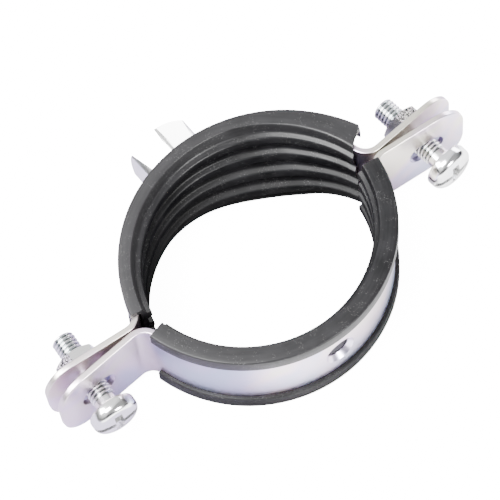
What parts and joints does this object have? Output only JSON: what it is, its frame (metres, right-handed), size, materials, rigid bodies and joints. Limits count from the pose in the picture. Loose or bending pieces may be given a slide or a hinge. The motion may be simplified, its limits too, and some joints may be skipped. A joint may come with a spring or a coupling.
{
  "type": "rubber lined pipe clamp",
  "caption": "Two-piece zinc-plated steel pipe clamp with ribbed rubber liner, flanged ears, two pan head clamping screws in welded nuts, and a threaded hexagon connection nut.",
  "frame": {"origin": "on the axis of the back half's pipe seat, at the middle of the strip's width", "axes": "+Z along the pipe's axis, +X towards the right-hand ear, +Y towards the connection nut"},
  "size_m": [0.1222, 0.073, 0.025],
  "materials": {
    "zinc_steel": "bright zinc plate on rolled strip",
    "zinc_hardware": "bright zinc plate",
    "liner_rubber": "matt black extruded rubber"
  },
  "bodies": {
    "back_half": {"back_band": "zinc_steel", "back_liner": "liner_rubber", "boss": "zinc_hardware", "nut_left": "zinc_hardware", "nut_right": "zinc_hardware"},
    "front_half": {"front_band": "zinc_steel", "front_liner": "liner_rubber"},
    "screw_left_body": {"screw_left": "zinc_hardware"},
    "screw_right_body": {"screw_right": "zinc_hardware"}
  },
  "joints": [
    {"name": "front_slide", "type": "slide", "parent": "back_half", "child": "front_half", "axis": [0, -1, 0], "range_m": [0, 0.0045]},
    {"name": "screw_left_turn", "type": "hinge", "parent": "back_half", "child": "screw_left_body", "pos_m": [-0.05005, 0.00513, 0], "axis": [-0.0785, -0.9969, 0], "continuous": true},
    {"name": "screw_right_turn", "type": "hinge", "parent": "back_half", "child": "screw_right_body", "pos_m": [0.05005, 0.00513, 0], "axis": [0.0785, -0.9969, 0], "continuous": true}
  ]
}
